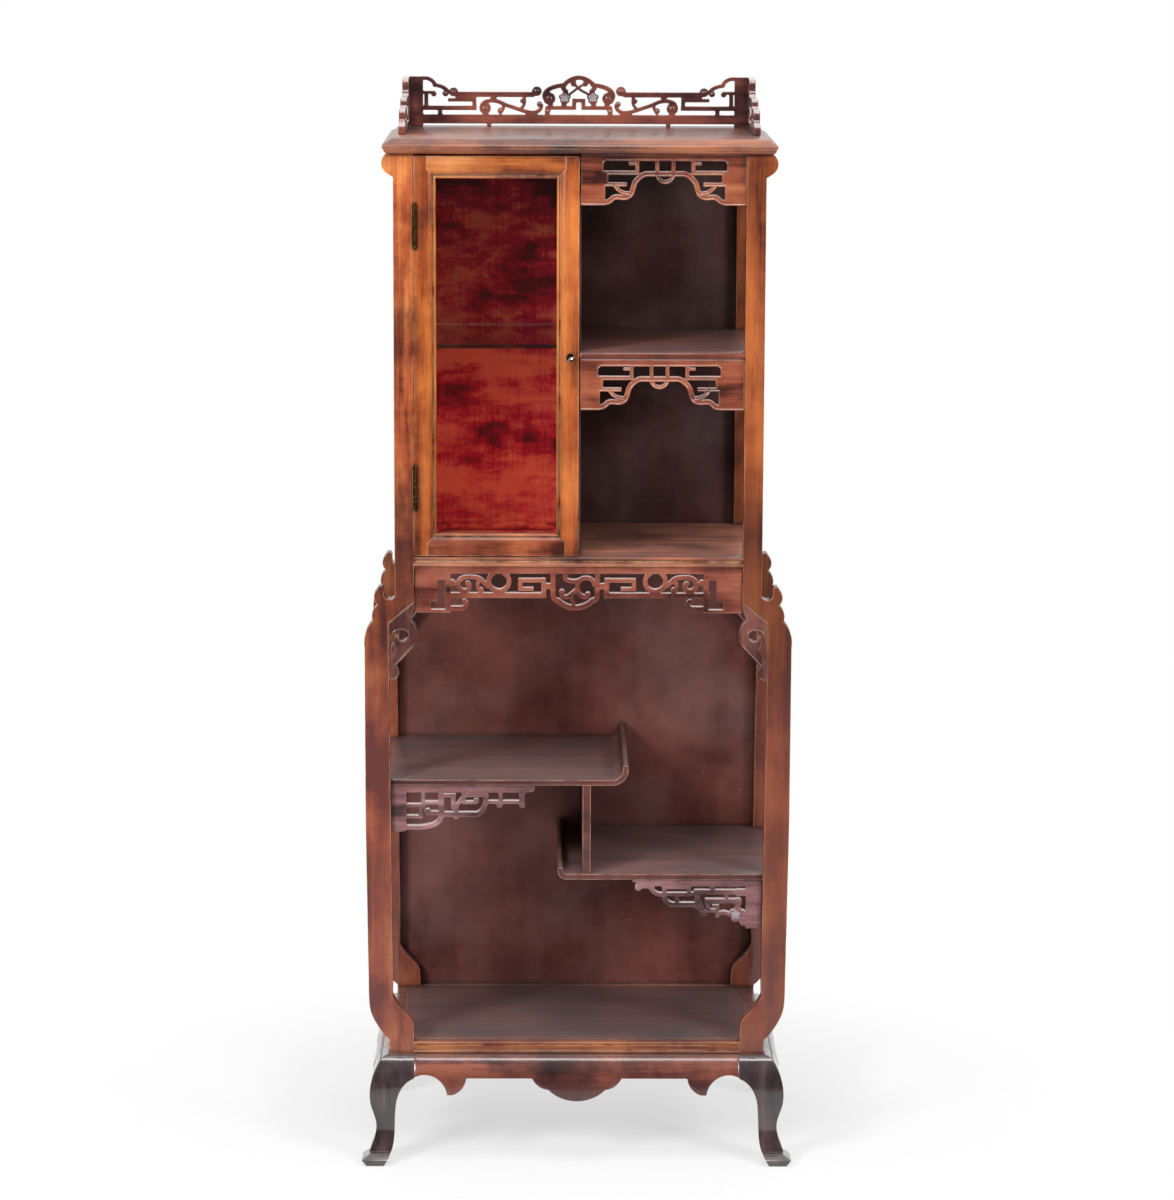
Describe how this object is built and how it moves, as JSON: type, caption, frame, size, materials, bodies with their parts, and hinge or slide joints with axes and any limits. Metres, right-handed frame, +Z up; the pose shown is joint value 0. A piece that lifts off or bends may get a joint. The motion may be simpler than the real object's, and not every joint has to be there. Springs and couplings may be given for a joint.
{
  "type": "display cabinet",
  "caption": "Tall carved hardwood display cabinet with a glazed cupboard, stepped open shelves, pierced fret panels, a gallery and cabriole legs.",
  "frame": {"origin": "on the floor, under the middle of the stand", "axes": "+X to the right seen from the front, -Y towards the front, +Z up"},
  "size_m": [0.692, 0.444, 1.7312],
  "materials": {
    "stand_wood": "dark glossy lacquer",
    "case_wood": "satin lacquer, worn at the edges",
    "fret_wood": "satin lacquer",
    "shelf_wood": "satin lacquer",
    "panel_wood": "matt stain",
    "door_wood": "satin lacquer",
    "door_glass": "clear, wide bevel",
    "shelf_glass": "clear, polished edge",
    "velvet": "worn velvet",
    "old_brass": "aged",
    "lock_steel": "dull",
    "key_steel": "polished",
    "escutcheon_iron": "dark",
    "peg_brass": "dull"
  },
  "bodies": {
    "case": {"apron_back": "stand_wood", "apron_front": "stand_wood", "apron_left": "stand_wood", "apron_right": "stand_wood", "back_panel_lower": "panel_wood", "back_panel_upper": "panel_wood", "base_rail_back": "case_wood", "base_rail_front": "case_wood", "base_rail_left": "case_wood", "base_rail_right": "case_wood", "bottom_shelf": "shelf_wood", "cornice": "case_wood", "fret_lower": "fret_wood", "fret_middle": "fret_wood", "fret_upper": "fret_wood", "gallery_back": "fret_wood", "gallery_left": "fret_wood", "gallery_right": "fret_wood", "glass_shelf": "shelf_glass", "hinge_leaves_case": "old_brass", "hinge_pins": "old_brass", "hinge_screws_case": "old_brass", "left_shelf": "shelf_wood", "leg_back_left": "stand_wood", "leg_back_right": "stand_wood", "leg_front_left": "stand_wood", "leg_front_right": "stand_wood", "lining_back": "velvet", "lining_floor": "velvet", "lining_left": "velvet", "lining_right": "velvet", "mid_floor": "case_wood", "partition": "case_wood", "post_back_left": "case_wood", "post_back_right": "case_wood", "post_front_left": "case_wood", "post_front_right": "case_wood", "right_shelf": "shelf_wood", "scroll_bracket_back_left": "case_wood", "scroll_bracket_back_right": "case_wood", "scroll_bracket_front_left": "case_wood", "scroll_bracket_front_right": "case_wood", "shelf_bracket_left": "fret_wood", "shelf_bracket_right": "fret_wood", "shelf_divider": "shelf_wood", "shelf_pegs": "peg_brass", "upper_left_side": "case_wood", "upper_right_shelf": "case_wood"},
    "door": {"door_stile_hinge": "door_wood", "door_stile_lock": "door_wood", "door_rail_bottom": "door_wood", "door_rail_top": "door_wood", "door_glass": "door_glass", "glazing_bead": "door_wood", "hinge_leaves_door": "old_brass", "hinge_screws_door": "old_brass", "lock_case": "lock_steel", "escutcheon": "escutcheon_iron"},
    "key": {"key": "key_steel"},
    "bolt": {"lock_bolt": "lock_steel"}
  },
  "joints": [
    {"name": "door_swing", "type": "hinge", "parent": "case", "child": "door", "pos_m": [-0.257, -0.181, 1.308], "axis": [0, 0, -1], "range_deg": [0, 170]},
    {"name": "key_turn", "type": "hinge", "parent": "door", "child": "key", "pos_m": [-0.014, -0.17, 1.307], "axis": [0, 1, 0], "range_deg": [0, 90]},
    {"name": "bolt_slide", "type": "slide", "parent": "door", "child": "bolt", "axis": [1, 0, 0], "range_m": [0, 0.008]}
  ],
  "couplings": [
    {"joint": "key_turn", "follows": "bolt_slide", "rad_per_m": 196.3}
  ]
}
